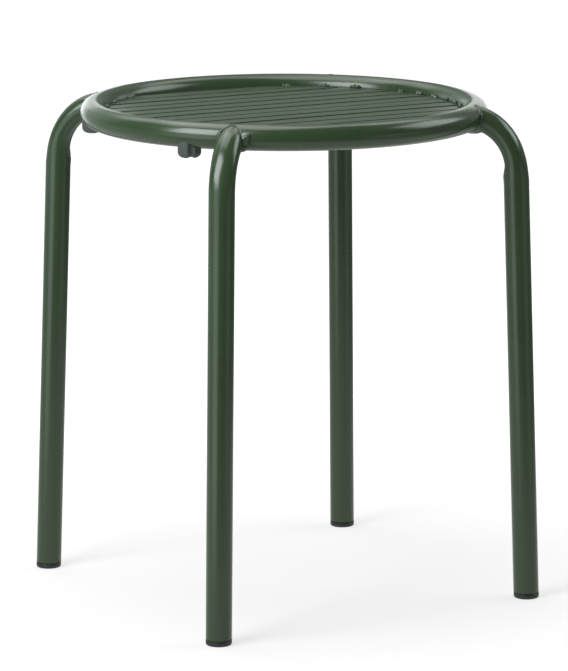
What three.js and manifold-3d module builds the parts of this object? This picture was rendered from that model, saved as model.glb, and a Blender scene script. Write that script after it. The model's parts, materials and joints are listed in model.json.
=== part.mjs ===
// Round slatted stool, Z up, millimetres. The origin is on the floor under the middle of the seat.
// One welded steel frame: a tube ring, flat slats across it and four bent tube legs,
// with plastic glides in the legs and plastic stacking buffers under the ring.

import * as THREE from 'three';
import { mergeVertices } from 'three/addons/utils/BufferGeometryUtils.js';
import Module from 'manifold-3d';

const wasm = await Module();
wasm.setup();

// Driving dimensions
const SEAT_HEIGHT = 450;
const TUBE_RADIUS = 11.5;
const TUBE_WALL = 1.5;
const RING_RADIUS = 172.5;
const GAP = 0.3;

const LEG_REACH = 40;
const LEG_SPLAY = THREE.MathUtils.degToRad(2);
const BEND_RADIUS = 46;

const SLAT_COUNT = 13;
const SLAT_WIDTH = 18;
const SLAT_SPACING = 23;
const SLAT_THICKNESS = 3;
const SLAT_CHAMFER = 0.6;

const GLIDE_HEIGHT = 4.8;
const GLIDE_EDGE = 1.8;
const SPIGOT_RADIUS = 9.4;
const SPIGOT_WALL = 2;
const SPIGOT_LENGTH = 22;

const BUFFER_RADIUS = 10.3;
const BUFFER_DROP = 8.6;
const BUFFER_EDGE = 5;
const BUFFER_ANGLE_FROM_X = 31;
const BUFFER_GROOVE_TURN = 40;
const GROOVE_RADIUS = 5;
const GROOVE_DEPTH = 1.4;
const STUD_RADIUS = 2.7;
const STUD_HEAD_RADIUS = 3.8;
const STUD_HOLE_RADIUS = 3;

const VENT_RADIUS = 4;
const LEG_BEAD_RADIUS = 2.7;
const LEG_BEAD_START = 40;
const SLAT_BEAD_SIZE = [3.4, 5.2, 3.2];

// How finely round shapes are faceted. A full turn in a Shape has twice its curveSegments.
const TUBE_SIDES = 16;
const BORE_SIDES = 12;
const RING_STEPS = 64;
const BEND_STEPS = 9;
const STRAIGHT_STEPS = 2;
const ROUND_SIDES = 18;
const EDGE_STEPS = 3;
const BEAD_STEPS = 14;
const BEAD_SIDES = 6;

// Sizes worked out from the driving dimensions
const RING_HEIGHT = SEAT_HEIGHT - TUBE_RADIUS;
const BORE_RADIUS = TUBE_RADIUS - TUBE_WALL;
const LEG_CORNER = RING_RADIUS + LEG_REACH;
const BEND_ANGLE = Math.PI / 2 - LEG_SPLAY;
const BEND_CENTRE = LEG_CORNER - BEND_RADIUS * Math.tan(BEND_ANGLE / 2);
const BUFFER_BOTTOM = RING_HEIGHT - TUBE_RADIUS - BUFFER_DROP;
const SLAT_TOP = RING_HEIGHT + SLAT_THICKNESS / 2;
// A faceted cutter is grown so that its flats, not its corners, keep the gap
const CLEAR_RADIUS = (TUBE_RADIUS + GAP) / Math.cos(Math.PI / TUBE_SIDES);

const STEEL = { color: 0x2f4a33, roughness: 0.32, metalness: 0 };
const GLIDE_PLASTIC = { color: 0x1b1b1d, roughness: 0.55, metalness: 0 };
const BUFFER_PLASTIC = { color: 0x4a5650, roughness: 0.6, metalness: 0 };

const CORNERS = [
  { name: 'back_right', x: 1, y: 1 },
  { name: 'back_left', x: -1, y: 1 },
  { name: 'front_left', x: -1, y: -1 },
  { name: 'front_right', x: 1, y: -1 },
];

const stool = new THREE.Group();

// Solids: a closed geometry becomes a manifold solid, and a solid becomes a geometry again

function toSolid(geometry) {
  const bare = geometry.clone();
  bare.deleteAttribute('normal');
  bare.deleteAttribute('uv');
  const merged = mergeVertices(bare, 1e-4);
  const triangles = [];
  for (let i = 0; i < merged.index.count; i += 3) {
    const [a, b, c] = [0, 1, 2].map((k) => merged.index.getX(i + k));
    if (a !== b && b !== c && c !== a) triangles.push(a, b, c);
  }
  return new wasm.Manifold(new wasm.Mesh({
    numProp: 3,
    vertProperties: new Float32Array(merged.attributes.position.array),
    triVerts: new Uint32Array(triangles),
  }));
}

function toGeometry(solid) {
  const mesh = solid.getMesh();
  const geometry = new THREE.BufferGeometry();
  geometry.setAttribute('position', new THREE.BufferAttribute(mesh.vertProperties, 3));
  geometry.setIndex(new THREE.BufferAttribute(mesh.triVerts, 1));
  geometry.computeVertexNormals();
  return geometry;
}

function addPiece(name, geometry, finish) {
  const mesh = new THREE.Mesh(geometry, new THREE.MeshStandardMaterial(finish));
  mesh.name = name;
  stool.add(mesh);
  return mesh;
}

function cornerAngle(corner, degreesFromX) {
  const angle = THREE.MathUtils.degToRad(degreesFromX);
  return Math.atan2(corner.y * Math.sin(angle), corner.x * Math.cos(angle));
}

// An upright round solid whose profile is [radius, height] pairs from the axis and back to it
function turned(profile, sides = ROUND_SIDES) {
  const points = profile.map(([radius, height]) => new THREE.Vector2(radius, height));
  return new THREE.LatheGeometry(points, sides).rotateX(Math.PI / 2);
}

function quarterRound(radius, height, edge, steps = EDGE_STEPS) {
  return Array.from({ length: steps + 1 }, (_, i) => {
    const angle = (i / steps) * (Math.PI / 2);
    return [radius - edge + edge * Math.sin(angle), height + edge - edge * Math.cos(angle)];
  });
}

// The seat ring: one tube bent to a circle, with vents into the legs and holes for the buffer studs

function ringTube(radius, sides = TUBE_SIDES) {
  return new THREE.TorusGeometry(RING_RADIUS, radius, sides, RING_STEPS)
    .translate(0, 0, RING_HEIGHT);
}

function ventCutter(corner) {
  return new THREE.CylinderGeometry(VENT_RADIUS, VENT_RADIUS, 2 * TUBE_RADIUS, 12)
    .rotateZ(-Math.PI / 2)
    .translate(RING_RADIUS + TUBE_RADIUS, 0, RING_HEIGHT)
    .rotateZ(cornerAngle(corner, 45));
}

function studHoleCutter(corner) {
  return new THREE.CylinderGeometry(STUD_HOLE_RADIUS, STUD_HOLE_RADIUS, TUBE_RADIUS, 12)
    .rotateX(Math.PI / 2)
    .translate(RING_RADIUS, 0, RING_HEIGHT - TUBE_RADIUS)
    .rotateZ(cornerAngle(corner, BUFFER_ANGLE_FROM_X));
}

function makeRing() {
  let ring = toSolid(ringTube(TUBE_RADIUS)).subtract(toSolid(ringTube(BORE_RADIUS, BORE_SIDES)));
  for (const corner of CORNERS) {
    ring = ring.subtract(toSolid(ventCutter(corner)));
    ring = ring.subtract(toSolid(studHoleCutter(corner)));
  }
  addPiece('seat_ring', toGeometry(ring), STEEL);
}

// Slats: flat bars along X, their ends cut to the ring's inner curve

function makeSlat(index) {
  const middle = (index - (SLAT_COUNT - 1) / 2) * SLAT_SPACING;
  const low = middle - SLAT_WIDTH / 2;
  const high = middle + SLAT_WIDTH / 2;
  const reach = (RING_RADIUS - TUBE_RADIUS) * Math.cos(Math.PI / RING_STEPS) - GAP;
  const outline = new THREE.Shape();
  outline.absarc(0, 0, reach, Math.asin(low / reach), Math.asin(high / reach), false);
  outline.absarc(0, 0, reach, Math.PI - Math.asin(high / reach), Math.PI - Math.asin(low / reach), false);
  outline.closePath();
  const bar = new THREE.ExtrudeGeometry(outline, {
    depth: SLAT_THICKNESS - 2 * SLAT_CHAMFER,
    curveSegments: 2,
    bevelThickness: SLAT_CHAMFER,
    bevelSize: SLAT_CHAMFER,
    bevelOffset: -SLAT_CHAMFER,
    bevelSegments: 1,
  });
  bar.translate(0, 0, SLAT_TOP - SLAT_THICKNESS + SLAT_CHAMFER);
  addPiece(`slat_${String(index + 1).padStart(2, '0')}`, toGeometry(toSolid(bar)), STEEL);
  for (const side of [-1, 1]) makeSlatBead(index, middle, side);
}

// The weld bead on top of a slat's end, in the corner between the slat and the ring
function makeSlatBead(index, middle, side) {
  const seam = RING_RADIUS - Math.sqrt(TUBE_RADIUS ** 2 - (SLAT_THICKNESS / 2) ** 2);
  const angle = Math.asin(middle / seam);
  const [depth, width, height] = SLAT_BEAD_SIZE;
  const bead = new THREE.SphereGeometry(1, 8, 4)
    .scale(depth, width, height)
    .translate(seam, 0, SLAT_TOP)
    .rotateZ(side > 0 ? angle : Math.PI - angle);
  const below = new THREE.BoxGeometry(2 * RING_RADIUS, 2 * RING_RADIUS, 2 * height)
    .translate(0, 0, SLAT_TOP + GAP - height);
  const solid = toSolid(bead)
    .subtract(toSolid(below))
    .subtract(toSolid(ringTube(CLEAR_RADIUS)));
  const end = side > 0 ? 'right' : 'left';
  addPiece(`slat_bead_${end}_${String(index + 1).padStart(2, '0')}`, toGeometry(solid), STEEL);
}

// Legs: from the ring's centreline round the bend, then straight down with a slight outward splay.
// The line lies in the XZ plane, and each leg is turned to its corner.

class LegLine extends THREE.Curve {
  constructor() {
    super();
    this.startAngle = Math.asin((RING_RADIUS - BEND_CENTRE) / BEND_RADIUS);
    this.bendShare = BEND_STEPS / (BEND_STEPS + STRAIGHT_STEPS);
  }

  onBend(angle, offset = 0) {
    return new THREE.Vector3(
      BEND_CENTRE + (BEND_RADIUS + offset) * Math.sin(angle),
      0,
      RING_HEIGHT - BEND_RADIUS + (BEND_RADIUS + offset) * Math.cos(angle),
    );
  }

  getPoint(t) {
    if (t <= this.bendShare) {
      const angle = THREE.MathUtils.lerp(this.startAngle, BEND_ANGLE, t / this.bendShare);
      return this.onBend(angle);
    }
    const foot = new THREE.Vector3(LEG_CORNER + RING_HEIGHT * Math.tan(LEG_SPLAY), 0, 0);
    return this.onBend(BEND_ANGLE).lerp(foot, (t - this.bendShare) / (1 - this.bendShare));
  }

  // Steps follow the line's own parameter, so the bend has most of them
  getUtoTmapping(u) {
    return u;
  }
}

const legLine = new LegLine();

function legTube(radius, boreRadius) {
  const section = new THREE.Shape().absarc(0, 0, radius, 0, 2 * Math.PI);
  if (boreRadius) section.holes.push(new THREE.Path().absarc(0, 0, boreRadius, 0, 2 * Math.PI));
  return new THREE.ExtrudeGeometry(section, {
    steps: BEND_STEPS + STRAIGHT_STEPS,
    curveSegments: TUBE_SIDES / 2,
    extrudePath: legLine,
  });
}

function floorCutter(height) {
  const width = 4 * RING_RADIUS;
  return new THREE.BoxGeometry(width, width, width).translate(0, 0, height - width / 2);
}

function makeLeg(corner) {
  const leg = toSolid(legTube(TUBE_RADIUS, BORE_RADIUS))
    .subtract(toSolid(ringTube(CLEAR_RADIUS)))
    .subtract(toSolid(floorCutter(GLIDE_HEIGHT + GAP)));
  addPiece(`leg_${corner.name}`, toGeometry(leg).rotateZ(cornerAngle(corner, 45)), STEEL);
}

// The weld bead follows the seam where the leg meets the ring, round the sides and underneath

function seamPoint(turn) {
  const across = TUBE_RADIUS * Math.sin(turn);
  const outward = TUBE_RADIUS * Math.cos(turn);
  let near = legLine.startAngle;
  let far = BEND_ANGLE;
  for (let i = 0; i < 40; i++) {
    const middle = (near + far) / 2;
    const point = legLine.onBend(middle, outward).setY(across);
    const fromRing = Math.hypot(Math.hypot(point.x, point.y) - RING_RADIUS, point.z - RING_HEIGHT);
    if (fromRing < TUBE_RADIUS) near = middle;
    else far = middle;
  }
  return legLine.onBend(near, outward).setY(across);
}

function makeLegBead(corner) {
  const start = THREE.MathUtils.degToRad(LEG_BEAD_START);
  const seam = Array.from({ length: BEAD_STEPS + 1 }, (_, i) => (
    seamPoint(THREE.MathUtils.lerp(start, 2 * Math.PI - start, i / BEAD_STEPS))
  ));
  const section = new THREE.Shape().absarc(0, 0, LEG_BEAD_RADIUS, 0, 2 * Math.PI);
  const bead = new THREE.ExtrudeGeometry(section, {
    steps: BEAD_STEPS,
    curveSegments: BEAD_SIDES / 2,
    extrudePath: new THREE.CatmullRomCurve3(seam),
  });
  const solid = toSolid(bead)
    .subtract(toSolid(ringTube(CLEAR_RADIUS)))
    .subtract(toSolid(legTube(CLEAR_RADIUS)));
  addPiece(`leg_bead_${corner.name}`, toGeometry(solid).rotateZ(cornerAngle(corner, 45)), STEEL);
}

// Foot glides: a flat-bottomed disc under the tube's end and a hollow spigot up inside it

function makeGlide(corner) {
  const disc = turned([
    [0, 0],
    ...quarterRound(TUBE_RADIUS, 0, GLIDE_EDGE),
    [TUBE_RADIUS, GLIDE_HEIGHT],
    [0, GLIDE_HEIGHT],
  ]);
  const spigot = turned([
    [0, -GLIDE_HEIGHT / 2],
    [SPIGOT_RADIUS, -GLIDE_HEIGHT / 2],
    [SPIGOT_RADIUS, SPIGOT_LENGTH],
    [SPIGOT_RADIUS - SPIGOT_WALL, SPIGOT_LENGTH],
    [SPIGOT_RADIUS - SPIGOT_WALL, 0],
    [0, 0],
  ]);
  spigot.translate(0, 0, GLIDE_HEIGHT).rotateY(-LEG_SPLAY);
  const glide = toGeometry(toSolid(disc).add(toSolid(spigot)));
  glide.translate(LEG_CORNER + RING_HEIGHT * Math.tan(LEG_SPLAY), 0, 0);
  addPiece(`foot_glide_${corner.name}`, glide.rotateZ(cornerAngle(corner, 45)), GLIDE_PLASTIC);
}

// Stacking buffers: round pads coped to the ring's underside, held by a snap stud in the tube wall.
// A shallow groove runs across the bottom and up both sides.

function grooveCutters() {
  const length = 4 * BUFFER_RADIUS;
  const offset = BUFFER_RADIUS + GROOVE_RADIUS - GROOVE_DEPTH;
  const across = new THREE.CylinderGeometry(GROOVE_RADIUS, GROOVE_RADIUS, length, 16)
    .rotateZ(Math.PI / 2)
    .translate(0, 0, BUFFER_BOTTOM - GROOVE_RADIUS + GROOVE_DEPTH);
  const upright = [-1, 1].map((side) => (
    new THREE.CylinderGeometry(GROOVE_RADIUS, GROOVE_RADIUS, length, 16)
      .rotateX(Math.PI / 2)
      .translate(side * offset, 0, BUFFER_BOTTOM)
  ));
  return [across, ...upright];
}

function makeBuffer(corner) {
  const place = cornerAngle(corner, BUFFER_ANGLE_FROM_X);
  const turn = THREE.MathUtils.degToRad(corner.x * corner.y * BUFFER_GROOVE_TURN);
  const pad = turned([
    [0, BUFFER_BOTTOM],
    ...quarterRound(BUFFER_RADIUS, BUFFER_BOTTOM, BUFFER_EDGE),
    [BUFFER_RADIUS, RING_HEIGHT],
    [0, RING_HEIGHT],
  ]);
  const underside = RING_HEIGHT - TUBE_RADIUS;
  const stud = turned([
    [0, underside - BUFFER_DROP / 2],
    [STUD_RADIUS, underside - BUFFER_DROP / 2],
    [STUD_RADIUS, underside + 2 * TUBE_WALL],
    [STUD_HEAD_RADIUS, underside + 2 * TUBE_WALL],
    [STUD_RADIUS, underside + 4 * TUBE_WALL],
    [0, underside + 4 * TUBE_WALL],
  ], 12);
  let buffer = toSolid(pad);
  for (const cutter of grooveCutters()) buffer = buffer.subtract(toSolid(cutter.rotateZ(turn)));
  buffer = toSolid(toGeometry(buffer).translate(RING_RADIUS, 0, 0))
    .subtract(toSolid(ringTube(CLEAR_RADIUS)))
    .add(toSolid(stud.translate(RING_RADIUS, 0, 0)));
  addPiece(`stacking_buffer_${corner.name}`, toGeometry(buffer).rotateZ(place), BUFFER_PLASTIC);
}

makeRing();
for (let index = 0; index < SLAT_COUNT; index++) makeSlat(index);
for (const corner of CORNERS) {
  makeLeg(corner);
  makeLegBead(corner);
  makeGlide(corner);
  makeBuffer(corner);
}

export default stool;
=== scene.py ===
import json
import math
import random

import bmesh
import bpy
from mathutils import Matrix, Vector


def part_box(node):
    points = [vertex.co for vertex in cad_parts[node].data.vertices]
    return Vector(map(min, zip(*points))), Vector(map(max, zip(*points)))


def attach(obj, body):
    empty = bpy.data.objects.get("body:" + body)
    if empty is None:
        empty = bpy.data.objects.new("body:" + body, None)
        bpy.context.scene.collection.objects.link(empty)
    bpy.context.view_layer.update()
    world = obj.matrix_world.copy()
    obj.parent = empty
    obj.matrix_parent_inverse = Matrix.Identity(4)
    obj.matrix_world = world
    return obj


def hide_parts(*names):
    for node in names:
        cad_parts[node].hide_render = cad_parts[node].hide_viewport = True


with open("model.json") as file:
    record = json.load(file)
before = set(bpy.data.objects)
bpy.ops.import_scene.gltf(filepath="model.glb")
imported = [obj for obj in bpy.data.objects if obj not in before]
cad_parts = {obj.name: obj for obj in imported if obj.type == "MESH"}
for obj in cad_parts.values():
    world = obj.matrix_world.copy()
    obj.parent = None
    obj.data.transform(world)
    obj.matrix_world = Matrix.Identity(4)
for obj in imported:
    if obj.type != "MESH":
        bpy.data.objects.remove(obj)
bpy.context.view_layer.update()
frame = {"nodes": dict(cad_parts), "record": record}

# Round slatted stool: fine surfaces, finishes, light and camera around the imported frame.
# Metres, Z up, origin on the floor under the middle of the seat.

MM = 0.001
UP = Vector((0, 0, 1))

scene = bpy.context.scene

# ---------------------------------------------------------------- sizes

ring_low, ring_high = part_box("seat_ring")
TUBE_RADIUS = (ring_high.z - ring_low.z) / 2
RING_RADIUS = ring_high.x - TUBE_RADIUS
RING_HEIGHT = ring_high.z - TUBE_RADIUS
UNDERSIDE = ring_low.z

# No weld bead stands higher than this
TOP_LIMIT = ring_high.z - 0.05 * MM

CORNERS = ("back_right", "back_left", "front_left", "front_right")
SLAT_COUNT = sum(name.startswith("slat_") and name[5:].isdigit() for name in frame["nodes"])
MOUNTS = {mount["name"]: Vector(mount["pos_m"]) for mount in frame["record"]["mounts"]}

# The leg's line starts over the middle of the ring's tube, bends down and runs straight to the
# foot. The bend would be level at BEND_CENTRE, and the level line and the straight one would meet
# at LEG_CORNER, both measured out from the Z axis.
LEG_FROM_X = math.radians(45)
LEG_SPLAY = math.radians(2)
BEND_RADIUS = 46 * MM
TUBE_WALL = 1.5 * MM
FOOT_REACH = MOUNTS["foot_back_right"].xy.length
LEG_CORNER = FOOT_REACH - RING_HEIGHT * math.tan(LEG_SPLAY)
BEND_ANGLE = math.pi / 2 - LEG_SPLAY
BEND_CENTRE = LEG_CORNER - BEND_RADIUS * math.tan(BEND_ANGLE / 2)
BEND_START = math.asin((RING_RADIUS - BEND_CENTRE) / BEND_RADIUS)
BEND_LENGTH = BEND_RADIUS * (BEND_ANGLE - BEND_START)
LEG_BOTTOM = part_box("leg_front_left")[0].z
GLIDE_HEIGHT = LEG_BOTTOM - 0.3 * MM

# How far a piece runs on inside the skin of its neighbour
SUNK = 0.3 * MM

# The bender's flat on the inside of each bend. It runs out from a little before the bend's end,
# and a small bulge lies where it has run out.
FLAT_DEPTH = 2.6 * MM
FLAT_RISE = 13 * MM
FLAT_END = BEND_LENGTH - 5 * MM
FLAT_RUN_OUT = 13 * MM
FLAT_EDGE = 0.35 * MM
BULGE_HEIGHT = 0.4 * MM
BULGE_LENGTH = 4.5 * MM

# How far the outside of each bend is drawn in, growing between two shares of the bend's length
OVAL_DEPTH = 2.1 * MM
OVAL_START = 0.1
OVAL_FULL = 0.75
OVAL_RUN_OUT = 26 * MM

# How soon the plain tube gives way to the reshaped bend
RESHAPE_RATE = 8

SLAT_EDGE = 0.35 * MM
SLAT_LIFT = 0.15 * MM
SLAT_TILT = math.radians(0.35)

# A slat bead fills the corner between the slat's top and the ring's wall
SLAT_BEAD_RADIUS = 2.07 * MM
SLAT_BEAD_SUNK = 0.4 * MM
SLAT_BEAD_HALF = (4.2 * MM, 6.0 * MM)
SLAT_BEAD_RISE = (0.2 * MM, 1.3 * MM)
SLAT_BEAD_WANDER = 1.2 * MM
SLAT_BEAD_TIP = 0.03
SLAT_BEAD_SWELL = 0.22
SLAT_BEAD_WOBBLE = 0.08

# A leg bead is low over the ring's top. On one side it is ragged, and spreads up over the ring.
LEG_BEAD_RADIUS = 2.6 * MM
LEG_BEAD_TOP_RADIUS = 0.6 * MM
LEG_BEAD_TOP_ENDS = (math.radians(25), math.radians(62))
LEG_BEAD_PITCH = 3.1 * MM
LEG_BEAD_WAVES = 4
LEG_BEAD_DRIFT = 0.08
LEG_BEAD_RIPPLE = 0.04
LEG_BEAD_RAGGED_RIPPLE = 0.08
LEG_BEAD_RAGGED_BLOB = 0.20
LEG_BEAD_SPREAD = 1.7
LEG_BEAD_SPREAD_TURN = math.radians(50)
LEG_BEAD_SPREAD_FROM = math.radians(12)

GLIDE_HUB = 3.45 * MM
GLIDE_EDGE = 1.6 * MM
GLIDE_LINE = 0.35 * MM
GLIDE_TOP_EDGE = 0.2 * MM
SPIGOT_RADIUS = 9.4 * MM
SPIGOT_WALL = 2 * MM
SPIGOT_LENGTH = 22 * MM
SPIGOT_LEAD = 1.0 * MM
SPIGOT_LEAD_DEPTH = 0.7 * MM

BUFFER_RADIUS = 10.3 * MM
BUFFER_EDGE = 5.0 * MM
BUFFER_FROM_X = math.radians(31)
BUFFER_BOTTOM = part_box("stacking_buffer_front_left")[0].z

# The groove across each buffer, turned away from the line to the middle of the ring
GROOVE_TURN = math.radians(40)
GROOVE_RADIUS = 5 * MM
GROOVE_DEPTH = 1.4 * MM

STUD_RADIUS = 2.7 * MM
STUD_HEAD_RADIUS = 3.8 * MM

# ---------------------------------------------------------------- mesh helpers

SHARP = math.radians(40)
SAME_POINT = 1e-7


def ease(low, high, value):
    """From 0 to 1 with soft ends while the value goes from low to high."""
    share = min(1.0, max(0.0, (value - low) / (high - low)))
    return share * share * (3 - 2 * share)


def lerp(a, b, share):
    return a + (b - a) * share


def turn_z(point, angle):
    cos, sin = math.cos(angle), math.sin(angle)
    return Vector((point.x * cos - point.y * sin, point.x * sin + point.y * cos, point.z))


def whole_turn(steps):
    """Even angles once round."""
    return [math.tau * i / steps for i in range(steps)]


def turned(loops, angle):
    """Loops of points turned round the Z axis."""
    return [[turn_z(point, angle) for point in loop] for loop in loops]


def corner_signs(corner):
    return (1 if corner.endswith("right") else -1), (1 if corner.startswith("back") else -1)


def corner_angle(corner, from_x):
    """The angle round the Z axis of what stands at a corner, so far from the X axis."""
    side, depth = corner_signs(corner)
    return math.atan2(depth * math.sin(from_x), side * math.cos(from_x))


def loft(loops, closed=False):
    """Points and faces of a skin through loops of points. An open run gets a fan over each end."""
    size = len(loops[0])
    points = [point for loop in loops for point in loop]
    faces = []
    for i in range(len(loops) if closed else len(loops) - 1):
        here, there = i * size, (i + 1) % len(loops) * size
        for j in range(size):
            k = (j + 1) % size
            faces.append((here + j, here + k, there + k, there + j))
    if not closed:
        for start in (0, (len(loops) - 1) * size):
            rim = points[start:start + size]
            points.append(sum(rim, Vector()) / size)
            for j in range(size):
                faces.append((start + j, start + (j + 1) % size, len(points) - 1))
    return points, faces


def build(name, node, material, skin, sharp=SHARP):
    """One piece of the object: a smooth mesh, creased past the sharp angle, for one CAD node."""
    points, faces = skin
    mesh = bpy.data.meshes.new(name)
    mesh.from_pydata([tuple(point) for point in points], [], faces)
    shape = bmesh.new()
    shape.from_mesh(mesh)
    bmesh.ops.remove_doubles(shape, verts=shape.verts, dist=SAME_POINT)
    bmesh.ops.recalc_face_normals(shape, faces=shape.faces)
    shape.to_mesh(mesh)
    shape.free()
    mesh.shade_smooth()
    mesh.set_sharp_from_angle(angle=sharp)
    mesh.materials.append(material)
    piece = bpy.data.objects.new(name, mesh)
    scene.collection.objects.link(piece)
    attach(piece, "root")
    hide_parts(node)


# ---------------------------------------------------------------- finishes


class Finish:
    """A node material on one Principled shader, with helpers for its procedural parts."""

    def __init__(self, name):
        self.material = bpy.data.materials.new(name)
        self.material.use_nodes = True
        self.tree = self.material.node_tree
        self.shader = self.tree.nodes["Principled BSDF"]
        self.place = self.tree.nodes.new("ShaderNodeTexCoord").outputs["Object"]

    def link(self, output, socket):
        self.tree.links.new(output, socket)

    def noise(self, per_metre, detail=2.0, roughness=0.5, stretch=(1, 1, 1)):
        mapping = self.tree.nodes.new("ShaderNodeMapping")
        mapping.inputs["Scale"].default_value = stretch
        self.link(self.place, mapping.inputs["Vector"])
        node = self.tree.nodes.new("ShaderNodeTexNoise")
        node.inputs["Scale"].default_value = per_metre
        node.inputs["Detail"].default_value = detail
        node.inputs["Roughness"].default_value = roughness
        self.link(mapping.outputs["Vector"], node.inputs["Vector"])
        return node.outputs["Fac"]

    def ramp(self, value, low, high, from_low=0.3, from_high=0.7):
        """The value remapped to low..high, clamped."""
        node = self.tree.nodes.new("ShaderNodeMapRange")
        node.inputs["From Min"].default_value = from_low
        node.inputs["From Max"].default_value = from_high
        node.inputs["To Min"].default_value = low
        node.inputs["To Max"].default_value = high
        self.link(value, node.inputs["Value"])
        return node.outputs["Result"]

    def math(self, operation, a, b):
        node = self.tree.nodes.new("ShaderNodeMath")
        node.operation = operation
        for socket, value in zip(node.inputs, (a, b)):
            if isinstance(value, (int, float)):
                socket.default_value = value
            else:
                self.link(value, socket)
        return node.outputs["Value"]

    def mix_colour(self, share, first, second):
        node = self.tree.nodes.new("ShaderNodeMix")
        node.data_type = "RGBA"
        self.link(share, node.inputs["Factor"])
        for socket, value in ((node.inputs[6], first), (node.inputs[7], second)):
            if isinstance(value, tuple):
                socket.default_value = (*value, 1)
            else:
                self.link(value, socket)
        return node.outputs[2]

    def bump(self, layers):
        """Stacks bump layers, each (height, distance in metres), on the shader's normal."""
        normal = None
        for height, distance in layers:
            node = self.tree.nodes.new("ShaderNodeBump")
            node.inputs["Distance"].default_value = distance
            self.link(height, node.inputs["Height"])
            if normal:
                self.link(normal, node.inputs["Normal"])
            normal = node.outputs["Normal"]
        self.link(normal, self.shader.inputs["Normal"])


def tinted(colour, share):
    return tuple(min(1.0, channel * share) for channel in colour)


SLOT_COLOURS = {m["slot"]: tuple(m["base_color"]) for m in frame["record"]["materials"]}

PAINT_IOR = 1.5
PAINT_GRAIN_HEIGHT = 0.004 * MM
PLASTIC_IOR = 1.49
PLASTIC_RIPPLE_HEIGHT = 0.02 * MM

# How much darker or paler each pattern makes the colour, and how much of the pattern shows
PAINT_MOTTLE_SHADES = (0.94, 1.06)
PAINT_GRAIN_SHADE = 1.5
PAINT_GRAIN_SHARE = 0.10
PAINT_RUB_SHADE = 1.6
PAINT_RUB_SHARE = 0.03
PLASTIC_DRIFT_SHADES = (0.88, 1.14)
PLASTIC_SCUFF_SHADE = 4

# How fine each pattern is, in noise cells to the metre
PAINT_MOTTLE = 28
PAINT_SHEEN = 14
PAINT_RUB_MARKS = 240
PAINT_GRAIN = 2600
PLASTIC_DRIFT = 160
PLASTIC_SCUFFS = 700
PLASTIC_SHEEN = 420
PLASTIC_GRAIN = 3200
PLASTIC_RIPPLE = 260


def powder_coat(name, peel_per_metre=620, peel_height=0.024 * MM, rough=0.22):
    """Semi-gloss green powder coat: faint mottling, orange peel, fine grain and light rub marks."""
    green = SLOT_COLOURS["frame_steel"]
    finish = Finish(name)
    finish.shader.inputs["IOR"].default_value = PAINT_IOR
    mottle = finish.ramp(finish.noise(PAINT_MOTTLE, detail=3), 0, 1)
    grain = finish.ramp(finish.noise(PAINT_GRAIN, detail=1), 0, 1)
    body = finish.mix_colour(mottle, *[tinted(green, shade) for shade in PAINT_MOTTLE_SHADES])
    speckle = finish.math("MULTIPLY", grain, PAINT_GRAIN_SHARE)
    colour = finish.mix_colour(speckle, body, tinted(green, PAINT_GRAIN_SHADE))
    rubbed = finish.noise(PAINT_RUB_MARKS, detail=3, stretch=(1, 1, 0.4))
    rubbed = finish.ramp(rubbed, 0, 1, from_low=0.45, from_high=0.75)
    pale = finish.math("MULTIPLY", rubbed, PAINT_RUB_SHARE)
    colour = finish.mix_colour(pale, colour, tinted(green, PAINT_RUB_SHADE))
    finish.link(colour, finish.shader.inputs["Base Color"])
    clean = finish.ramp(finish.noise(PAINT_SHEEN, detail=2), rough - 0.02, rough + 0.03)
    worn = finish.math("ADD", clean, finish.math("MULTIPLY", rubbed, 0.04))
    finish.link(worn, finish.shader.inputs["Roughness"])
    peel = finish.noise(peel_per_metre, detail=2, roughness=0.4)
    fine = finish.noise(PAINT_GRAIN, detail=1)
    finish.bump([(peel, peel_height), (fine, PAINT_GRAIN_HEIGHT)])
    return finish.material


def moulded_plastic(name, slot, grain_height, dust, rough=0.5):
    """Moulded plastic: fine spark-eroded grain, slight colour drift, and dusty scuffs."""
    base = SLOT_COLOURS[slot]
    finish = Finish(name)
    finish.shader.inputs["IOR"].default_value = PLASTIC_IOR
    drift = finish.ramp(finish.noise(PLASTIC_DRIFT, detail=3), 0, 1)
    colour = finish.mix_colour(drift, *[tinted(base, shade) for shade in PLASTIC_DRIFT_SHADES])
    scuffs = finish.noise(PLASTIC_SCUFFS, detail=5, roughness=0.7)
    scuffs = finish.ramp(scuffs, 0, dust, from_low=0.52, from_high=0.72)
    colour = finish.mix_colour(scuffs, colour, tinted(base, PLASTIC_SCUFF_SHADE))
    finish.link(colour, finish.shader.inputs["Base Color"])
    sheen = finish.ramp(finish.noise(PLASTIC_SHEEN), rough - 0.05, rough + 0.07)
    finish.link(sheen, finish.shader.inputs["Roughness"])
    grain = finish.noise(PLASTIC_GRAIN, detail=2)
    ripple = finish.noise(PLASTIC_RIPPLE)
    finish.bump([(grain, grain_height), (ripple, PLASTIC_RIPPLE_HEIGHT)])
    return finish.material


TUBE_PAINT = powder_coat("powder_coat_tube")
SLAT_PAINT = powder_coat("powder_coat_slat", peel_per_metre=540, rough=0.32)
WELD_PAINT = powder_coat(
    "powder_coat_weld", peel_per_metre=1100, peel_height=0.05 * MM, rough=0.26)
GLIDE_PLASTIC = moulded_plastic(
    "black_glide_plastic", "glide_plastic", grain_height=0.012 * MM, dust=0.5)
BUFFER_PLASTIC = moulded_plastic(
    "grey_buffer_plastic", "buffer_plastic", grain_height=0.010 * MM, dust=0.2)

# ---------------------------------------------------------------- seat ring

RING_STEPS = 256
RING_SIDES = 48


def ring_point(around, angle):
    """A point of the ring's tube: angle runs round the section, from outside over the top."""
    out = RING_RADIUS + TUBE_RADIUS * math.cos(angle)
    height = RING_HEIGHT + TUBE_RADIUS * math.sin(angle)
    return Vector((out * math.cos(around), out * math.sin(around), height))


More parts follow.
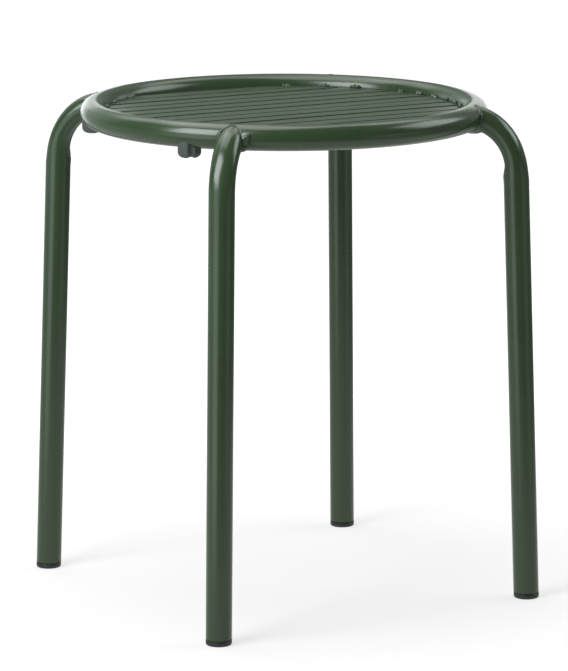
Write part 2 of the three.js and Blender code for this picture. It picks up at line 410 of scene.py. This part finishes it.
def make_ring():
    loops = [
        [ring_point(around, angle) for angle in whole_turn(RING_SIDES)]
        for around in whole_turn(RING_STEPS)
    ]
    build("ring_tube", "seat_ring", TUBE_PAINT, loft(loops, closed=True))


# ---------------------------------------------------------------- slats

SLAT_STEPS = 24
SLAT_EDGE_STEPS = 4
SLAT_FLAT_STEPS = 6


def ring_inside(height):
    """How far from the middle the ring's inner wall is at a height."""
    return RING_RADIUS - math.sqrt(TUBE_RADIUS**2 - (height - RING_HEIGHT) ** 2)


def slat_section(width, thickness):
    """A flat bar's section with rounded edges, as (across, up) from its middle."""
    half, deep = width / 2 - SLAT_EDGE, thickness / 2 - SLAT_EDGE
    section = []
    for corner, (x, z) in enumerate([(half, -deep), (half, deep), (-half, deep), (-half, -deep)]):
        for i in range(SLAT_EDGE_STEPS + 1):
            angle = (corner - 1 + i / SLAT_EDGE_STEPS) * math.pi / 2
            section.append((x + SLAT_EDGE * math.cos(angle), z + SLAT_EDGE * math.sin(angle)))
        before_wide_face = corner in (1, 3)
        if before_wide_face:
            across, up = section[-1]
            for i in range(1, SLAT_FLAT_STEPS):
                section.append((lerp(across, -across, i / SLAT_FLAT_STEPS), up))
    return section


def make_slat(index, seeds):
    """A slat from wall to wall of the ring. Returns where its middle and its top are."""
    node = f"slat_{index + 1:02d}"
    low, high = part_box(node)
    middle = (low.y + high.y) / 2
    height = (low.z + high.z) / 2 + seeds.uniform(-SLAT_LIFT, SLAT_LIFT)
    tilt = seeds.uniform(-SLAT_TILT, SLAT_TILT)
    rows = []
    for across, up in slat_section(high.y - low.y, high.z - low.z):
        y = middle + across * math.cos(tilt) - up * math.sin(tilt)
        z = height + across * math.sin(tilt) + up * math.cos(tilt)
        end = math.sqrt((ring_inside(z) + SUNK) ** 2 - y * y)
        rows.append((end, y, z))
    loops = [
        [Vector((lerp(-end, end, i / SLAT_STEPS), y, z)) for end, y, z in rows]
        for i in range(SLAT_STEPS + 1)
    ]
    build(f"slat_bar_{index + 1:02d}", node, SLAT_PAINT, loft(loops))
    return middle, height + (high.z - low.z) / 2


# ---------------------------------------------------------------- weld beads

BEAD_SIDES = 14
SLAT_BEAD_STEPS = 30
LEG_BEAD_STEPS = 300


def bead_loops(path, size, outward, closed):
    """Sections along a path, of radius size(i, angle). The angle starts at outward(i)."""
    loops = []
    last = len(path) - 1
    for i, point in enumerate(path):
        before = path[i - 1] if closed or i else path[0]
        after = path[(i + 1) % len(path)] if closed or i < last else path[last]
        along = (after - before).normalized()
        up = outward(i)
        up = (up - along * up.dot(along)).normalized()
        side = along.cross(up)
        loop = []
        for angle in whole_turn(BEAD_SIDES):
            spot = point + (up * math.cos(angle) + side * math.sin(angle)) * size(i, angle)
            loop.append(Vector((spot.x, spot.y, min(spot.z, TOP_LIMIT))))
        loops.append(loop)
    return loops


def make_slat_bead(index, side, middle, top, seeds):
    """A short lumpy bead on a slat's end, with one end a little higher than the other."""
    end = "right" if side > 0 else "left"
    seam = ring_inside(top)
    centre = math.asin(middle / seam) + seeds.uniform(-SLAT_BEAD_WANDER, SLAT_BEAD_WANDER) / seam
    half = seeds.uniform(*SLAT_BEAD_HALF) / seam
    lumps = seeds.choice((2, 2, 3))
    phase = seeds.uniform(0, math.tau)
    # The third value is drawn and left, so that the beads after this one stay as they are
    rise, far_rise, _ = [seeds.uniform(*SLAT_BEAD_RISE) for _ in range(3)]
    climb = (far_rise - rise) / 2
    shares = [i / SLAT_BEAD_STEPS * 2 - 1 for i in range(SLAT_BEAD_STEPS + 1)]
    out = seam - SLAT_BEAD_SUNK
    path = []
    for share in shares:
        angle = centre + half * share
        height = top - SLAT_BEAD_SUNK + rise + climb * share
        path.append(Vector((side * out * math.cos(angle), out * math.sin(angle), height)))

    def size(i, angle):
        share = shares[i]
        taper = math.sqrt(max(SLAT_BEAD_TIP, 1 - share**4))
        swell = 1 + SLAT_BEAD_SWELL * math.cos(lumps * math.pi * share + phase)
        wobble = 1 + SLAT_BEAD_WOBBLE * math.sin(3 * angle + 5 * share + phase)
        return SLAT_BEAD_RADIUS * taper * swell * wobble

    def outward(i):
        return Vector((-path[i].x, -path[i].y, RING_RADIUS)).normalized()

    name = f"slat_weld_{end}_{index + 1:02d}"
    loops = bead_loops(path, size, outward, closed=False)
    build(name, f"slat_bead_{end}_{index + 1:02d}", WELD_PAINT, loft(loops))


# ---------------------------------------------------------------- legs

LEG_SIDES = 80
BEND_STEPS = 96
STRAIGHT_STEPS = 16
SEAM_HALVINGS = 40

# The foot's open end, with the bore carried far enough up to clear the glide's spigot
HOLLOW_DEPTH = 30 * MM
TUBE_END_EDGE = 0.3 * MM
BORE_EDGE = 0.2 * MM


def leg_frame(distance):
    """Centre and outward direction of the leg's line in the XZ plane, so far from its start."""
    if distance <= BEND_LENGTH:
        angle = BEND_START + distance / BEND_RADIUS
        out = Vector((math.sin(angle), 0, math.cos(angle)))
        return Vector((BEND_CENTRE, 0, RING_HEIGHT - BEND_RADIUS)) + out * BEND_RADIUS, out
    out = Vector((math.sin(BEND_ANGLE), 0, math.cos(BEND_ANGLE)))
    down = Vector((math.cos(BEND_ANGLE), 0, -math.sin(BEND_ANGLE)))
    corner, _ = leg_frame(BEND_LENGTH)
    return corner + down * (distance - BEND_LENGTH), out


def bent(out, distance):
    """How far out from the leg's line the bender leaves what would be at out on a plain tube."""
    # The flat softly holds the inside back
    flat = ease(0, FLAT_RISE, distance) * (1 - ease(FLAT_END, FLAT_END + FLAT_RUN_OUT, distance))
    limit = -TUBE_RADIUS + FLAT_DEPTH * flat
    gap = out - limit
    held = limit + (gap + math.sqrt(gap * gap + FLAT_EDGE**2)) / 2

    # The outside is drawn in over the bend
    fade = ease(BEND_LENGTH - OVAL_RUN_OUT / 2, BEND_LENGTH + OVAL_RUN_OUT / 2, distance)
    drawn = ease(OVAL_START, OVAL_FULL, distance / BEND_LENGTH) * (1 - fade)
    held -= OVAL_DEPTH * drawn * max(0.0, out / TUBE_RADIUS) ** 2

    # The bulge stands out from the inside
    past = (distance - FLAT_END - FLAT_RUN_OUT) / BULGE_LENGTH
    bulge = BULGE_HEIGHT * math.exp(-2 * past * past) * ease(0.2, 1, -out / TUBE_RADIUS)
    reshaped = min(1.0, max(flat, drawn) * RESHAPE_RATE)
    return lerp(out, held, reshaped) - bulge


def leg_point(distance, turn, radius=TUBE_RADIUS):
    """A point of the leg's tube: turn runs round the section, from the leg's outer side."""
    centre, out = leg_frame(distance)
    offset = bent(radius * math.cos(turn), distance)
    return centre + out * offset + Vector((0, radius * math.sin(turn), 0))


def seam_distance(turn, depth):
    """How far along the leg its surface leaves the ring's tube, less a depth below that skin."""
    near, far = 0.0, BEND_LENGTH
    for _ in range(SEAM_HALVINGS):
        middle = (near + far) / 2
        point = leg_point(middle, turn)
        reach = math.hypot(point.xy.length - RING_RADIUS, point.z - RING_HEIGHT)
        if reach < TUBE_RADIUS - depth:
            near = middle
        else:
            far = middle
    return near


def make_leg(corner):
    """The tube from inside the ring's skin: close steps as far as the bulge, then long ones."""
    turns = whole_turn(LEG_SIDES)
    starts = [seam_distance(turn, SUNK) for turn in turns]
    dense_end = FLAT_END + FLAT_RUN_OUT + 3 * BULGE_LENGTH
    loops = []
    for i in range(BEND_STEPS + 1):
        distances = [lerp(start, dense_end, i / BEND_STEPS) for start in starts]
        loops.append([leg_point(distance, turn) for distance, turn in zip(distances, turns)])

    def at_height(turn, height, radius):
        """The point of the straight tube at a height, so that the foot is cut level."""
        top = leg_point(dense_end, turn, radius)
        down = leg_frame(dense_end + MM)[0] - leg_frame(dense_end)[0]
        return top + down * ((top.z - height) / -down.z)

    straight_top = loops[BEND_STEPS][0].z
    straight_end = LEG_BOTTOM + TUBE_END_EDGE
    bore = TUBE_RADIUS - TUBE_WALL
    profile = [
        (TUBE_RADIUS, lerp(straight_top, straight_end, i / STRAIGHT_STEPS))
        for i in range(1, STRAIGHT_STEPS + 1)
    ]
    profile += [
        (TUBE_RADIUS - TUBE_END_EDGE, LEG_BOTTOM),
        (bore + BORE_EDGE, LEG_BOTTOM),
        (bore, LEG_BOTTOM + BORE_EDGE),
        (bore, LEG_BOTTOM + HOLLOW_DEPTH),
    ]
    for radius, level in profile:
        loops.append([at_height(turn, level, radius) for turn in turns])
    skin = loft(turned(loops, corner_angle(corner, LEG_FROM_X)))
    build(f"leg_tube_{corner}", f"leg_{corner}", TUBE_PAINT, skin)


def make_leg_bead(corner, seeds):
    """The ribbed weld all round the seam. travelled counts its ribs from the leg's outer side."""
    turns = whole_turn(LEG_BEAD_STEPS)
    distances = [seam_distance(turn, 0) for turn in turns]
    seam = [leg_point(distance, turn) for distance, turn in zip(distances, turns)]
    lengths = [(point - seam[i - 1]).length for i, point in enumerate(seam)]
    pitches = round(sum(lengths) / LEG_BEAD_PITCH)
    travelled = [sum(lengths[1:i + 1]) / sum(lengths) * pitches for i in range(LEG_BEAD_STEPS)]
    waves = [(seeds.randint(3, 11), seeds.uniform(0, math.tau)) for _ in range(LEG_BEAD_WAVES)]
    blobs = seeds.uniform(0, math.tau)

    def size(i, angle):
        turn, ribs = turns[i], travelled[i]
        from_top = math.pi - abs(math.pi - turn)
        radius = lerp(LEG_BEAD_TOP_RADIUS, LEG_BEAD_RADIUS, ease(*LEG_BEAD_TOP_ENDS, from_top))
        drift = sum(math.sin(count * turn + phase) for count, phase in waves) / LEG_BEAD_WAVES

        # Crescent ribs, and on one side of the leg coarser ones with blobs
        ragged = ease(0.1, 0.7, math.sin(turn))
        crescent = abs(math.sin(math.pi * (ribs + 0.5 * math.cos(angle))))
        ripple = (LEG_BEAD_RIPPLE + LEG_BEAD_RAGGED_RIPPLE * ragged) * crescent
        blob = LEG_BEAD_RAGGED_BLOB * ragged * math.sin(2.1 * ribs + blobs)

        # A patch on that side where the weld runs up over the ring
        over_ring = max(0.0, math.cos(angle + LEG_BEAD_SPREAD_TURN)) ** 4
        patch = ease(0.5, 0.95, math.sin(turn + LEG_BEAD_SPREAD_FROM))
        runs = 0.8 + 0.3 * math.sin(2.6 * ribs)
        spread = LEG_BEAD_SPREAD * over_ring * patch * runs
        return radius * (0.9 + ripple + LEG_BEAD_DRIFT * drift + blob + spread)

    def outward(i):
        on_ring = Vector((seam[i].x, seam[i].y, 0)).normalized() * RING_RADIUS
        from_ring = seam[i] - Vector((on_ring.x, on_ring.y, RING_HEIGHT))
        from_leg = seam[i] - leg_frame(distances[i])[0]
        return (from_ring.normalized() + from_leg.normalized()).normalized()

    loops = bead_loops(seam, size, outward, closed=True)
    skin = loft(turned(loops, corner_angle(corner, LEG_FROM_X)), closed=True)
    build(f"leg_weld_{corner}", f"leg_bead_{corner}", WELD_PAINT, skin)


# ---------------------------------------------------------------- foot glides

GLIDE_SIDES = 64
GLIDE_EDGE_STEPS = 6


def rounded_edge(radius, level, edge, steps):
    """A rounded bottom edge, as (radius, height) pairs from the flat to the wall."""
    pairs = []
    for i in range(steps + 1):
        angle = i / steps * math.pi / 2
        out, up = edge * math.sin(angle), edge * math.cos(angle)
        pairs.append((radius - edge + out, level + edge - up))
    return pairs


def make_glide(corner):
    """A flat disc with a line round it, and a hollow spigot that follows the leg's splay."""
    line = GLIDE_HEIGHT - 3 * GLIDE_LINE
    spigot_top = GLIDE_HEIGHT + SPIGOT_LENGTH
    profile = [
        (GLIDE_HUB, 0),
        *rounded_edge(TUBE_RADIUS, 0, GLIDE_EDGE, GLIDE_EDGE_STEPS),
        (TUBE_RADIUS, line - GLIDE_LINE),
        (TUBE_RADIUS - GLIDE_LINE, line),
        (TUBE_RADIUS, line + GLIDE_LINE),
        (TUBE_RADIUS, GLIDE_HEIGHT - GLIDE_TOP_EDGE),
        (TUBE_RADIUS - GLIDE_TOP_EDGE, GLIDE_HEIGHT),
        (SPIGOT_RADIUS, GLIDE_HEIGHT),
        (SPIGOT_RADIUS, spigot_top - SPIGOT_LEAD),
        (SPIGOT_RADIUS - SPIGOT_LEAD_DEPTH, spigot_top),
        (SPIGOT_RADIUS - SPIGOT_WALL, spigot_top),
        (SPIGOT_RADIUS - SPIGOT_WALL, GLIDE_HEIGHT),
    ]
    foot = MOUNTS[f"foot_{corner}"]
    inward = -foot.normalized() * math.tan(LEG_SPLAY)
    rim = [Vector((math.cos(angle), math.sin(angle), 0)) for angle in whole_turn(GLIDE_SIDES)]
    loops = []
    for radius, height in profile:
        centre = foot + inward * max(0, height - GLIDE_HEIGHT) + UP * height
        loops.append([centre + radius * out for out in rim])
    build(f"glide_{corner}", f"foot_glide_{corner}", GLIDE_PLASTIC, loft(loops),
          sharp=math.radians(30))


# ---------------------------------------------------------------- stacking buffers

BUFFER_SIDES = 128
BUFFER_EDGE_STEPS = 8
BUFFER_WALL_STEPS = 8
UNDER_SHARES = (0.12, 0.3, 0.45, 0.58)
COPE_SHARES = (0.8, 0.6, 0.4, STUD_RADIUS / BUFFER_RADIUS)


def groove_wall(angle):
    """The pad's radius in a direction, less the groove that runs up its two sides."""
    centre = BUFFER_RADIUS + GROOVE_RADIUS - GROOVE_DEPTH
    along, off = abs(centre * math.cos(angle)), centre * math.sin(angle)
    if abs(off) >= GROOVE_RADIUS:
        return BUFFER_RADIUS
    return min(BUFFER_RADIUS, along - math.sqrt(GROOVE_RADIUS**2 - off * off))


def groove_floor(across):
    """The height of the groove over the pad's underside."""
    if abs(across) >= GROOVE_RADIUS:
        return BUFFER_BOTTOM
    round_top = math.sqrt(GROOVE_RADIUS**2 - across * across)
    return BUFFER_BOTTOM + GROOVE_DEPTH - GROOVE_RADIUS + round_top


def make_buffer(corner):
    """A round pad with a groove across its underside, coped to the tube, with a headed stud."""
    side, depth = corner_signs(corner)
    turn = side * depth * GROOVE_TURN
    angles = whole_turn(BUFFER_SIDES)
    walls = [groove_wall(angle) for angle in angles]

    def local(angle, radius):
        """Where a point of the pad is in X and Y, before the pad is turned to its corner."""
        return (RING_RADIUS + radius * math.cos(angle + turn), radius * math.sin(angle + turn))

    def cope(x, y):
        """The height of the ring's underside over a point, a little inside its skin."""
        off = min(TUBE_RADIUS - SUNK, abs(math.hypot(x, y) - RING_RADIUS))
        return RING_HEIGHT - math.sqrt((TUBE_RADIUS - SUNK) ** 2 - off * off)

    loops = []
    profile = [(BUFFER_RADIUS * share, BUFFER_BOTTOM) for share in UNDER_SHARES]
    profile += rounded_edge(BUFFER_RADIUS, BUFFER_BOTTOM, BUFFER_EDGE, BUFFER_EDGE_STEPS)
    for radius, level in profile:
        loop = []
        for angle, wall in zip(angles, walls):
            reach = radius * wall / BUFFER_RADIUS
            x, y = local(angle, reach)
            loop.append(Vector((x, y, max(level, groove_floor(reach * math.sin(angle))))))
        loops.append(loop)
    rim = loops[-1]
    for i in range(1, BUFFER_WALL_STEPS + 1):
        loop = []
        for angle, wall, low in zip(angles, walls, rim):
            x, y = local(angle, wall)
            loop.append(Vector((x, y, lerp(low.z, cope(x, y), i / BUFFER_WALL_STEPS))))
        loops.append(loop)
    for share in COPE_SHARES:
        loop = []
        for angle, wall in zip(angles, walls):
            x, y = local(angle, wall * share)
            loop.append(Vector((x, y, cope(x, y))))
        loops.append(loop)
    neck, tip = UNDERSIDE + 2 * TUBE_WALL, UNDERSIDE + 4 * TUBE_WALL
    for radius, level in ((STUD_RADIUS, neck), (STUD_HEAD_RADIUS, neck), (STUD_RADIUS, tip)):
        loops.append([Vector((*local(angle, radius), level)) for angle in angles])
    skin = loft(turned(loops, corner_angle(corner, BUFFER_FROM_X)))
    build(f"buffer_{corner}", f"stacking_buffer_{corner}", BUFFER_PLASTIC, skin,
          sharp=math.radians(50))


# ---------------------------------------------------------------- the stool

seeds = random.Random(13)
make_ring()
for slat in range(SLAT_COUNT):
    slat_middle, slat_top = make_slat(slat, seeds)
    for side in (-1, 1):
        make_slat_bead(slat, side, slat_middle, slat_top, seeds)
for corner in CORNERS:
    make_leg(corner)
    make_leg_bead(corner, seeds)
    make_glide(corner)
    make_buffer(corner)

# ---------------------------------------------------------------- camera

# The camera stands in front, on the -Y side, turned round to the left of it
VIEW_TURN = math.radians(-30.558)
VIEW_DISTANCE = 3.675
VIEW_HEIGHT = 0.9444
VIEW_PITCH = math.radians(10.98)

# A long lens, and the film along the picture's upright side, both in millimetres
LENS = 219.7985
FILM = 36

TO_CAMERA = Vector((math.sin(VIEW_TURN), -math.cos(VIEW_TURN), 0))
TO_RIGHT = Vector((math.cos(VIEW_TURN), math.sin(VIEW_TURN), 0))

lens = bpy.data.cameras.new("camera")
lens.sensor_width = FILM
lens.lens = LENS
lens.clip_end = 100
camera = bpy.data.objects.new("camera", lens)
camera.location = TO_CAMERA * VIEW_DISTANCE + UP * VIEW_HEIGHT
camera.rotation_euler = (math.pi / 2 - VIEW_PITCH, 0, VIEW_TURN)
scene.collection.objects.link(camera)
scene.camera = camera

# ---------------------------------------------------------------- studio

scene.view_settings.view_transform = "Standard"
scene.view_settings.look = "None"

AIM = UP * 0.28
WHITE = (1, 1, 1, 1)

# Watts for each square metre of an area light and each unit of its strength
LIGHT_POWER = 4


def heading(left):
    """The level direction so many degrees round from the camera's side to the left."""
    turn = math.radians(left)
    return TO_CAMERA * math.cos(turn) - TO_RIGHT * math.sin(turn)


def area_light(name, place, facing, width, height, strength, colour=(1, 1, 1)):
    """A rectangular light at a place, shining in the facing direction and unseen by the camera."""
    light = bpy.data.lights.new(name, "AREA")
    light.shape = "RECTANGLE"
    light.size = width
    light.size_y = height
    light.energy = LIGHT_POWER * strength * width * height
    light.color = colour
    lamp = bpy.data.objects.new(name, light)
    lamp.location = place
    lamp.rotation_euler = facing.to_track_quat("-Z", "Y").to_euler()
    lamp.visible_camera = False
    scene.collection.objects.link(lamp)


def softbox(name, left, up, distance, width, height, strength, colour=(1, 1, 1)):
    """A soft area light. left is degrees round from the camera's side, up is its elevation."""
    rise = math.radians(up)
    direction = heading(left) * math.cos(rise) + UP * math.sin(rise)
    place = AIM + direction * distance
    area_light(name, place, -direction, width, height, strength, colour)


softbox("key", left=49, up=38, distance=1.8, width=0.95, height=1.15, strength=7.8,
        colour=(0.94, 1.0, 1.03))
softbox("right", left=-103, up=36, distance=2.4, width=1.5, height=1.2, strength=3.2,
        colour=(0.94, 1.0, 1.0))
softbox("top", left=120, up=76, distance=1.6, width=1.1, height=1.1, strength=2.6)
softbox("back", left=150, up=50, distance=2.2, width=1.6, height=0.9, strength=1.2)
softbox("back_right", left=-150, up=55, distance=2.2, width=0.9, height=0.9, strength=1.6)

# Two small cards close behind the seat, facing the camera, that the ring's ends reflect
CARD_SIZE = 0.20
CARD_BACK = 0.40
CARD_OUT = 0.265
CARD_HEIGHT = 0.50

for card, out in (("left_card", CARD_OUT), ("right_card", -CARD_OUT)):
    place = UP * CARD_HEIGHT - TO_CAMERA * CARD_BACK - TO_RIGHT * out
    area_light(card, place, TO_CAMERA, CARD_SIZE, CARD_SIZE, strength=1.0)


def smooth_range(tree, value, start, end, low, high):
    """Goes softly from low to high, which may be sockets, while the value goes from start to end."""
    node = tree.nodes.new("ShaderNodeMapRange")
    node.interpolation_type = "SMOOTHSTEP"
    node.inputs["From Min"].default_value = start
    node.inputs["From Max"].default_value = end
    for name, level in (("To Min", low), ("To Max", high)):
        if isinstance(level, (int, float)):
            node.inputs[name].default_value = level
        else:
            tree.links.new(level, node.inputs[name])
    tree.links.new(value, node.inputs["Value"])
    return node.outputs["Result"]


def mixed_shader(tree, share, first, second):
    node = tree.nodes.new("ShaderNodeMixShader")
    tree.links.new(share, node.inputs["Fac"])
    tree.links.new(first, node.inputs[1])
    tree.links.new(second, node.inputs[2])
    return node.outputs["Shader"]


STUDIO_TINT = (0.92, 1.0, 0.98, 1)


def make_world():
    """Studio surroundings: bright low down behind and to the left, dim in front on the right. They
    light the stool and are reflected in it, and the camera sees plain white instead."""
    world = bpy.data.worlds.new("studio")
    world.use_nodes = True
    scene.world = world
    tree = world.node_tree
    background = tree.nodes["Background"]
    background.inputs["Color"].default_value = STUDIO_TINT
    direction = tree.nodes.new("ShaderNodeTexCoord").outputs["Generated"]

    def remap(value, start, end, low, high):
        return smooth_range(tree, value, start, end, low, high)

    def plus(a, b):
        node = tree.nodes.new("ShaderNodeMath")
        node.operation = "ADD"
        tree.links.new(a, node.inputs[0])
        tree.links.new(b, node.inputs[1])
        return node.outputs["Value"]

    def along(axis):
        node = tree.nodes.new("ShaderNodeVectorMath")
        node.operation = "DOT_PRODUCT"
        node.inputs[1].default_value = axis
        tree.links.new(direction, node.inputs[0])
        return node.outputs["Value"]

    def lobe(left, rise, edge, core, strength):
        """A soft patch of light towards a heading that rises by so much for each unit out. Its edge
        and its core are cosines of the angle from its middle."""
        axis = (heading(left) + UP * rise).normalized()
        return remap(along(axis), edge, core, 0.0, strength)

    left_side = remap(along(heading(105)), 0.5, 0.9, 0.17, 0.62)
    left_strip = lobe(46, 0, 0.87, 0.985, 1.9)
    right_strip = lobe(-65, 0, 0.90, 0.98, 0.45)
    below_horizon = plus(plus(left_side, left_strip), right_strip)
    behind = remap(along(-TO_CAMERA), -0.3, 0.8, 0.16, 0.30)
    above_horizon = plus(behind, lobe(46, 0, 0.87, 0.985, 1.2))
    height = along(UP)
    light = remap(height, -0.05, 0.14, below_horizon, above_horizon)
    light = plus(light, lobe(164, -0.10, 0.955, 0.997, 1.6))
    light = plus(light, lobe(152, -0.42, 0.94, 0.99, 0.35))
    light = plus(light, lobe(140, 0.45, 0.88, 0.97, 0.45))
    underneath = remap(height, -0.85, -0.35, 1.0, 0.0)
    light = plus(light, underneath)
    tree.links.new(light, background.inputs["Strength"])
    backdrop = tree.nodes.new("ShaderNodeBackground")
    backdrop.inputs["Color"].default_value = WHITE
    seen = tree.nodes.new("ShaderNodeLightPath").outputs["Is Camera Ray"]
    surface = mixed_shader(
        tree, seen, background.outputs["Background"], backdrop.outputs["Background"])
    tree.links.new(surface, tree.nodes["World Output"].inputs["Surface"])


# The floor's lit part takes a real soft shadow near the stool, and a painted shade deepens it:
# its glow is weaker near the middle and rises to plain white away from the stool.
# Each span is where a change starts and ends, in metres from the middle.
FLOOR_REACH = 14
FLOOR_COLOUR = (0.265, 0.25, 0.25, 1)
FLOOR_GLOW_WITH_PAINTED_SHADE = (0.61, 0.97)
FLOOR_PAINTED_SHADE_SPAN = (0.05, 0.9)
FLOOR_IN_GLOSS = 0.85
FLOOR_IN_GLOSS_SPAN = (0.35, 1.3)


def make_floor():
    """A pale floor with painted shade near the stool, seen from above only. Reflections see its
    nearest part, then the world.
    """
    mesh = bpy.data.meshes.new("floor")
    signs = ((-1, -1), (1, -1), (1, 1), (-1, 1))
    corners = [(x * FLOOR_REACH, y * FLOOR_REACH, 0) for x, y in signs]
    mesh.from_pydata(corners, [], [(0, 1, 2, 3)])
    floor = bpy.data.objects.new("floor", mesh)
    scene.collection.objects.link(floor)
    material = bpy.data.materials.new("pale_floor")
    material.use_nodes = True
    tree = material.node_tree
    shader = tree.nodes["Principled BSDF"]
    shader.inputs["Base Color"].default_value = FLOOR_COLOUR
    shader.inputs["Roughness"].default_value = 1
    shader.inputs["Specular IOR Level"].default_value = 0
    shader.inputs["Emission Color"].default_value = WHITE
    place = tree.nodes.new("ShaderNodeTexCoord").outputs["Object"]
    length = tree.nodes.new("ShaderNodeVectorMath")
    length.operation = "LENGTH"
    tree.links.new(place, length.inputs[0])
    clear = tree.nodes.new("ShaderNodeBsdfTransparent").outputs["BSDF"]
    near = tree.nodes.new("ShaderNodeEmission")
    near.inputs["Strength"].default_value = FLOOR_IN_GLOSS

    distance = length.outputs["Value"]
    # The glow is weaker near the middle: painted shade under the stool
    glow_with_painted_shade = smooth_range(tree, distance, *FLOOR_PAINTED_SHADE_SPAN, *FLOOR_GLOW_WITH_PAINTED_SHADE)
    tree.links.new(glow_with_painted_shade, shader.inputs["Emission Strength"])
    far = smooth_range(tree, distance, *FLOOR_IN_GLOSS_SPAN, 0.0, 1.0)
    reflected = mixed_shader(tree, far, near.outputs["Emission"], clear)
    in_gloss = tree.nodes.new("ShaderNodeLightPath").outputs["Is Glossy Ray"]
    surface = mixed_shader(tree, in_gloss, shader.outputs["BSDF"], reflected)
    underneath = tree.nodes.new("ShaderNodeNewGeometry").outputs["Backfacing"]
    surface = mixed_shader(tree, underneath, surface, clear)
    tree.links.new(surface, tree.nodes["Material Output"].inputs["Surface"])
    mesh.materials.append(material)


make_world()
make_floor()
